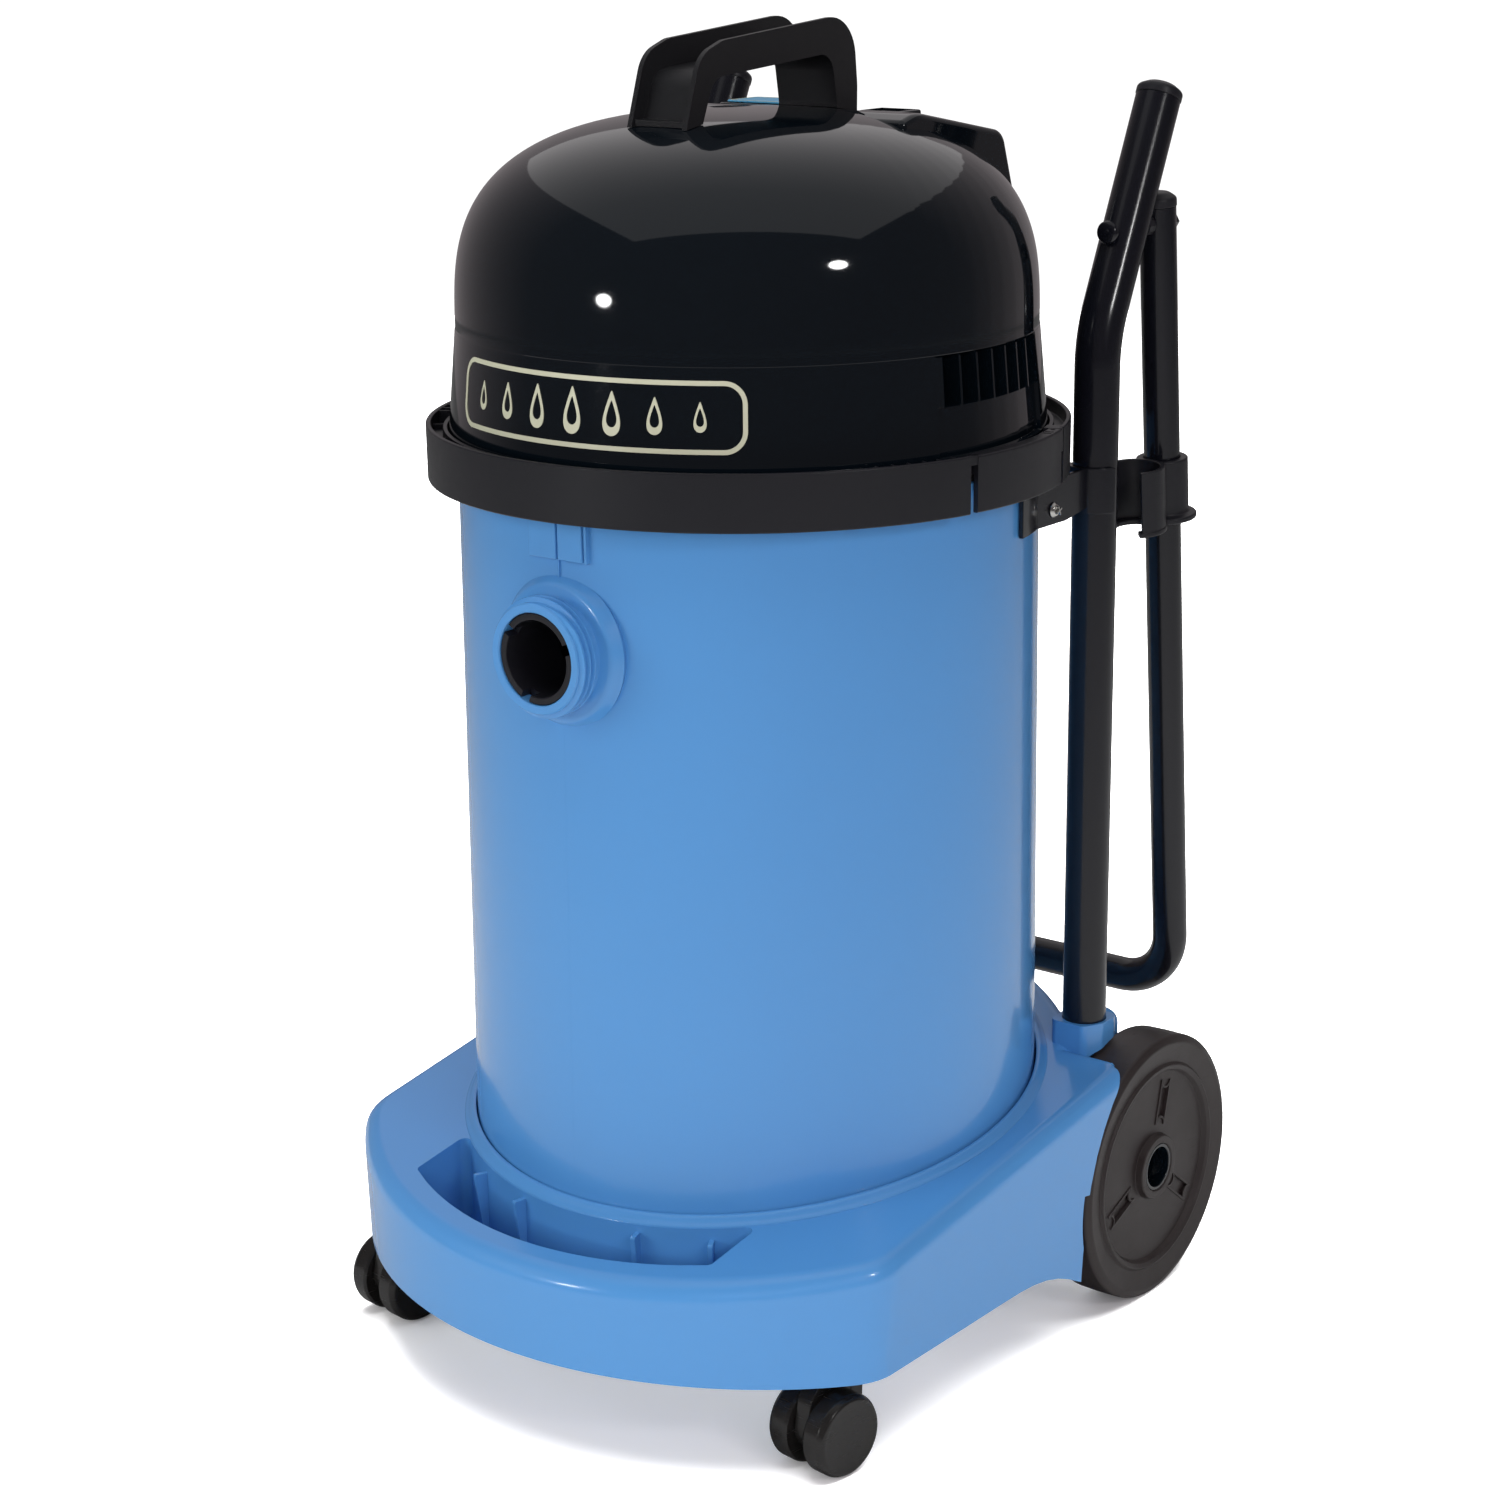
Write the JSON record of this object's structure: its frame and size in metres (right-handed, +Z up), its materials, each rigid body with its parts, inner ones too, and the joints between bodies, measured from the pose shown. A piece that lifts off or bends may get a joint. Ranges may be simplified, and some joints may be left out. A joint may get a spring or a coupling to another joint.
{
  "type": "wet pick-up drum vacuum cleaner",
  "caption": "Blue drum wet pick-up vacuum with a lift-off black motor head, on a wheeled trolley with push tubes, front castors and a rear support hoop.",
  "frame": {"origin": "on the floor under the centre of the whole machine's plan", "axes": "+Z up; -Y is the front with the inlet neck, +Y the side of the push tubes and large wheels; +X is the machine's left-to-right as seen from the front, towards the wand clip"},
  "size_m": [0.4068, 0.4843, 0.7892],
  "materials": {
    "blue_shell": "glossy moulded blue plastic",
    "gloss_black": "high-gloss black moulding",
    "satin_black": "satin black moulding, fine grain",
    "castor_plastic": "satin dark grey moulding",
    "black_paint": "glossy black powder coat on steel",
    "wheel_plastic": "matte dark grey wheel moulding",
    "bright_steel": "bright zinc-plated steel",
    "seal_rubber": "matte black rubber",
    "motor_alloy": "bare satin alloy",
    "foam": "open-cell dark foam",
    "float_plastic": "off-white moulded plastic",
    "rocker_plastic": "satin black",
    "label_blue": "blue printed film, no lettering"
  },
  "bodies": {
    "trolley": {"trolley_base": "blue_shell", "tank": "blue_shell", "inlet_sleeve": "satin_black", "inlet_baffle": "satin_black", "push_tube_left": "black_paint", "push_tube_right": "black_paint", "tube_cap_left": "satin_black", "tube_cap_right": "satin_black", "support_hoop": "black_paint", "hoop_cap_left": "satin_black", "hoop_cap_right": "satin_black", "hoop_bolt_left": "bright_steel", "hoop_bolt_right": "bright_steel", "hoop_spacer_left": "satin_black", "hoop_spacer_right": "satin_black", "tube_bracket_left": "black_paint", "tube_bracket_right": "black_paint", "bracket_screw_left": "bright_steel", "bracket_screw_right": "bright_steel", "wand_clip": "satin_black", "rear_axle": "bright_steel", "axle_clip_left": "bright_steel", "axle_clip_right": "bright_steel"},
    "head": {"rim_ring": "satin_black", "rim_gasket": "seal_rubber", "motor_plate": "satin_black", "dome_cover": "gloss_black", "carry_handle": "satin_black", "handle_screw_front": "bright_steel", "handle_screw_rear": "bright_steel", "latch_pin_left": "bright_steel", "latch_pin_right": "bright_steel", "motor_seal": "seal_rubber", "fan_case": "motor_alloy", "motor_frame": "motor_alloy", "exhaust_foam": "foam", "float_cage": "satin_black", "switch_case": "satin_black", "cable_socket": "satin_black", "label_plate": "label_blue"},
    "rotor": {"rotor": "motor_alloy"},
    "float": {"float_ball": "float_plastic"},
    "switch": {"rocker_switch": "rocker_plastic"},
    "latch_right": {"latch_right": "satin_black"},
    "latch_left": {"latch_left": "satin_black"},
    "rear_wheel_right": {"rear_wheel_right": "wheel_plastic"},
    "castor_right": {"castor_housing_right": "castor_plastic", "castor_axle_right": "bright_steel"},
    "castor_wheel_right_inner": {"castor_wheel_right_inner": "wheel_plastic"},
    "castor_wheel_right_outer": {"castor_wheel_right_outer": "wheel_plastic"},
    "rear_wheel_left": {"rear_wheel_left": "wheel_plastic"},
    "castor_left": {"castor_housing_left": "castor_plastic", "castor_axle_left": "bright_steel"},
    "castor_wheel_left_inner": {"castor_wheel_left_inner": "wheel_plastic"},
    "castor_wheel_left_outer": {"castor_wheel_left_outer": "wheel_plastic"}
  },
  "joints": [
    {"name": "head_lift", "type": "slide", "parent": "trolley", "child": "head", "axis": [0, 0, 1], "range_m": [0, 0.46]},
    {"name": "rotor_spin", "type": "hinge", "parent": "head", "child": "rotor", "pos_m": [0, -0.0028, 0.62], "axis": [0, 0, 1], "continuous": true},
    {"name": "float_rise", "type": "slide", "parent": "head", "child": "float", "axis": [0, 0, 1], "range_m": [0, 0.038]},
    {"name": "switch_rock", "type": "hinge", "parent": "head", "child": "switch", "pos_m": [0.043, 0.0792, 0.7312], "axis": [1, 0, 0], "range_deg": [-8, 8]},
    {"name": "latch_swing_right", "type": "hinge", "parent": "head", "child": "latch_right", "pos_m": [0.17558, 0.05189, 0.549], "axis": [0, 0, 1], "range_deg": [0, 35]},
    {"name": "latch_swing_left", "type": "hinge", "parent": "head", "child": "latch_left", "pos_m": [-0.17558, 0.05189, 0.549], "axis": [0, 0, -1], "range_deg": [0, 35]},
    {"name": "rear_wheel_spin_right", "type": "hinge", "parent": "trolley", "child": "rear_wheel_right", "pos_m": [0.182, 0.1512, 0.085], "axis": [1, 0, 0], "continuous": true},
    {"name": "castor_swivel_right", "type": "hinge", "parent": "trolley", "child": "castor_right", "pos_m": [0.1645, -0.1368, 0.06], "axis": [0, 0, 1], "continuous": true},
    {"name": "castor_spin_right_inner", "type": "hinge", "parent": "castor_right", "child": "castor_wheel_right_inner", "pos_m": [0.14891, -0.15077, 0.0245], "axis": [0.9903, -0.1392, 0], "continuous": true},
    {"name": "castor_spin_right_outer", "type": "hinge", "parent": "castor_right", "child": "castor_wheel_right_outer", "pos_m": [0.17564, -0.15452, 0.0245], "axis": [0.9903, -0.1392, 0], "continuous": true},
    {"name": "rear_wheel_spin_left", "type": "hinge", "parent": "trolley", "child": "rear_wheel_left", "pos_m": [-0.182, 0.1512, 0.085], "axis": [1, 0, 0], "continuous": true},
    {"name": "castor_swivel_left", "type": "hinge", "parent": "trolley", "child": "castor_left", "pos_m": [-0.1645, -0.1368, 0.06], "axis": [0, 0, 1], "continuous": true},
    {"name": "castor_spin_left_inner", "type": "hinge", "parent": "castor_left", "child": "castor_wheel_left_inner", "pos_m": [-0.15336, -0.15452, 0.0245], "axis": [0.9903, -0.1392, 0], "continuous": true},
    {"name": "castor_spin_left_outer", "type": "hinge", "parent": "castor_left", "child": "castor_wheel_left_outer", "pos_m": [-0.1801, -0.15077, 0.0245], "axis": [0.9903, -0.1392, 0], "continuous": true}
  ]
}
